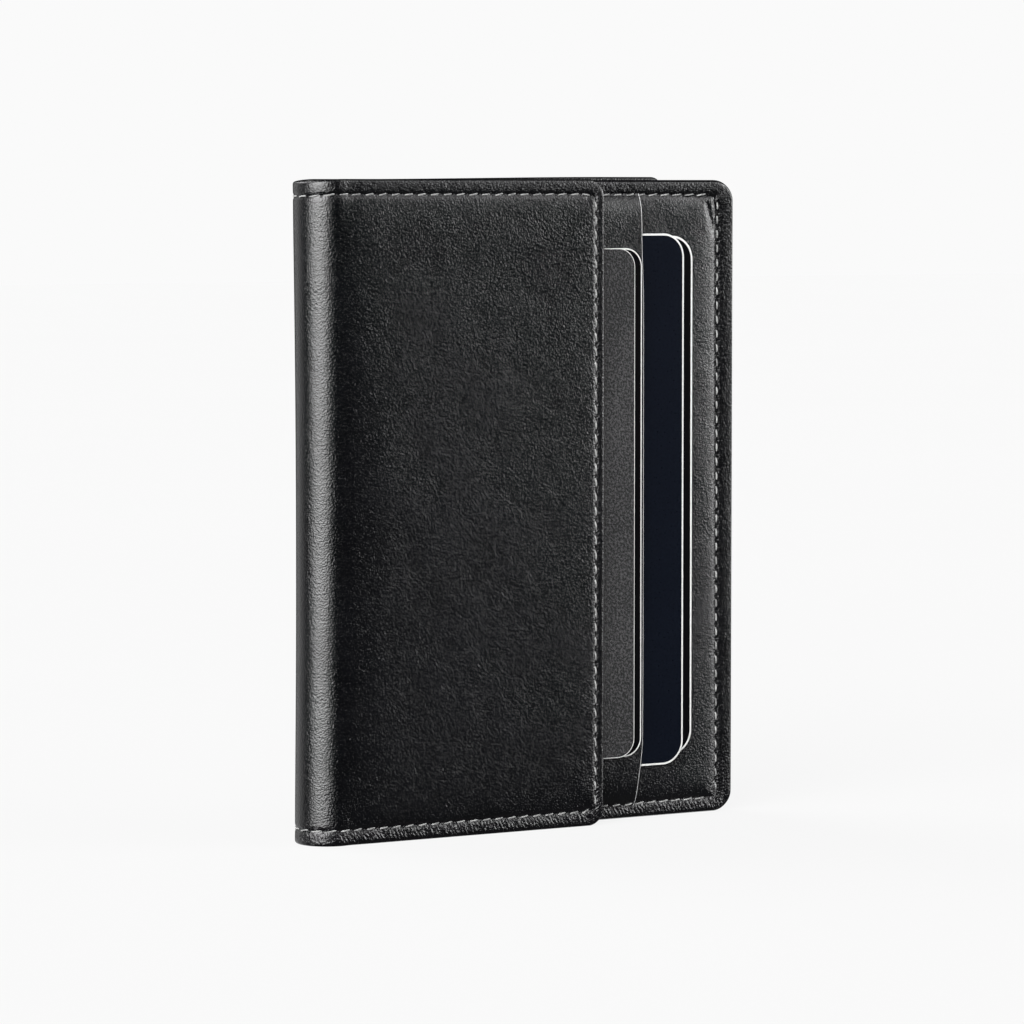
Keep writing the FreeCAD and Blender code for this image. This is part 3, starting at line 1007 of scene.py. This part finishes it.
# Hidden layers: the boards, the felt padding, the spine's lining and the strip that ties the card
# leaf to the spine keep their own solids, each with its own finish.
def plain_stuff(name, low, high, roughness, size, strength):
    material = bpy.data.materials.new(name)
    tree = Tree(material)
    place = tree.object_place()
    speck = tree.noise(place, size, 3.0, 0.6)
    tree.finish({
        "Base Color": tree.colour(speck.rise(0.3, 0.7), low, high),
        "Roughness": speck * 0.1 + roughness,
        "Normal": tree.bump(speck, strength),
    })
    return material


board = plain_stuff("fibre_board", (0.035, 0.033, 0.03), (0.07, 0.066, 0.06), 0.75, 0.0006, 0.00003)
felt = plain_stuff("felt", (0.03, 0.03, 0.03), (0.07, 0.07, 0.07), 0.9, 0.0003, 0.00008)
INNER_FINISH = {
    "front_cover_board": board, "back_cover_board": board, "centre_padding": felt,
    "front_spine_lining": lining_leather, "spine_ridge_lining": lining_leather,
    "back_spine_lining": lining_leather, "centre_hinge_strip": lining_leather,
}
for node, material in INNER_FINISH.items():
    layer = frame["nodes"][node]
    layer.data.materials.clear()
    layer.data.materials.append(material)


# Studio: a pale floor, a white sweep seen by the camera, and soft boxes to the left, right and
# above that the leather reflects.
BACKDROP = 0.956
LEFT_BOX = 12.0
RIGHT_BOX = 14.0
FACE_FILL = 0.12
ABOVE_BOX = 2.1
BEHIND_BOX = 0.75
OVERHEAD_BOX = 4.0
BELOW_FILL = 0.10
LOW_FILL = 0.02
DARK_ROOM = 0.01


def studio_world():
    """Soft boxes by their bearing from the front and their height, both in degrees."""
    world = bpy.data.worlds.new("studio")
    bpy.context.scene.world = world
    tree = Tree(world)
    place = tree.add("ShaderNodeTexCoord", {}, {}, "Generated")
    x, y, z = (tree.add("ShaderNodeSeparateXYZ", {}, [place], k) for k in range(3))
    degree = 180.0 / math.pi
    bearing = x.math("ARCTAN2", -y) * degree
    height = z.math("ARCSINE") * degree
    low = height.rise(-22.0, 4.0)
    left = bearing.rise(-100.0, -66.0) * (1.0 - bearing.rise(-44.0, -10.0))
    left = left * height.rise(-17.0, 5.0) * (1.0 - height.rise(30.0, 60.0))
    face = bearing.rise(14.0, 36.0) * (1.0 - bearing.rise(60.0, 80.0))
    right = bearing.rise(44.0, 60.0) * (1.0 - bearing.rise(64.0, 80.0))
    right = face * FACE_FILL * low + right * RIGHT_BOX * height.rise(-11.0, 8.0)
    right = right * (1.0 - height.rise(10.0, 34.0))
    above = height.rise(8.0, 24.0) * (1.0 - height.rise(34.0, 62.0))
    above = above * bearing.rise(12.0, 36.0) * (1.0 - bearing.rise(60.0, 90.0))
    back = bearing.rise(118.0, 145.0) * (1.0 - height.rise(-16.0, -4.0))
    back = 1.0 - bearing.rise(-132.0, -108.0) + back
    back = back * height.rise(-65.0, -30.0) * (1.0 - height.rise(50.0, 80.0))
    overhead = 1.0 - bearing.rise(-142.0, -118.0)
    overhead = overhead * height.rise(18.0, 35.0) * (1.0 - height.rise(65.0, 85.0))
    below = height.rise(-70.0, -45.0) * (1.0 - height.rise(-28.0, -12.0))
    behind = back * BEHIND_BOX + overhead * OVERHEAD_BOX
    fill = below * BELOW_FILL + low * LOW_FILL + DARK_ROOM
    level = left * LEFT_BOX + right + above * ABOVE_BOX + behind + fill
    ray = tree.add("ShaderNodeLightPath", {}, {}, "Is Camera Ray")
    shade = level * (1.0 - ray) + ray * BACKDROP
    glow = tree.add("ShaderNodeBackground", {}, {"Color": (1.0, 1.0, 1.0, 1.0), "Strength": shade})
    tree.add("ShaderNodeOutputWorld", {}, {"Surface": glow})


studio_world()


FLOOR_HALF = 4000.0
FLOOR_GLOW = 0.861


def studio_floor():
    half = FLOOR_HALF
    corners = [(-half, -half, 0.0), (half, -half, 0.0), (half, half, 0.0), (-half, half, 0.0)]
    floor = add_mesh("floor", np.array(corners), [[0, 1, 2, 3]])
    material = bpy.data.materials.new("pale_floor")
    tree = Tree(material)
    place = tree.object_place()
    mottle = tree.noise(place, 0.2, 2.0)
    tree.finish({
        "Base Color": tree.colour(mottle, (0.05, 0.05, 0.05), (0.055, 0.055, 0.055)),
        "Roughness": mottle * 0.1 + 0.85,
        "Emission Color": (1.0, 1.0, 1.0, 1.0),
        "Emission Strength": FLOOR_GLOW,
        "Specular IOR Level": 0.0,
    })
    floor.data.materials.append(material)
    floor.visible_glossy = False
    floor.visible_diffuse = False


studio_floor()


# Camera: at the height of the holder's top edge, to the left of its front, with a long lens.
CAMERA_AZIMUTH = math.radians(-30.46)
CAMERA_ELEVATION = math.radians(4.03)
CAMERA_DISTANCE = 764.56
CAMERA_AIM = (34.41, 0.0, 52.82)
CAMERA_LENS = 161.7
camera_data = bpy.data.cameras.new("camera")
camera = bpy.data.objects.new("camera", camera_data)
bpy.context.scene.collection.objects.link(camera)
camera_data.lens = CAMERA_LENS
camera_data.sensor_width = 36.0
camera_data.clip_start = 0.05
camera_data.clip_end = 20.0
back = (
    math.sin(CAMERA_AZIMUTH) * math.cos(CAMERA_ELEVATION),
    -math.cos(CAMERA_AZIMUTH) * math.cos(CAMERA_ELEVATION),
    math.sin(CAMERA_ELEVATION),
)
aim = (CAMERA_AIM[0] + SPINE_X, CAMERA_AIM[1], CAMERA_AIM[2])
camera.location = [(a + b * CAMERA_DISTANCE) * MM for a, b in zip(aim, back)]
camera.rotation_euler = (math.pi / 2.0 - CAMERA_ELEVATION, 0.0, CAMERA_AZIMUTH)
bpy.context.scene.camera = camera
bpy.context.scene.view_settings.view_transform = "Standard"
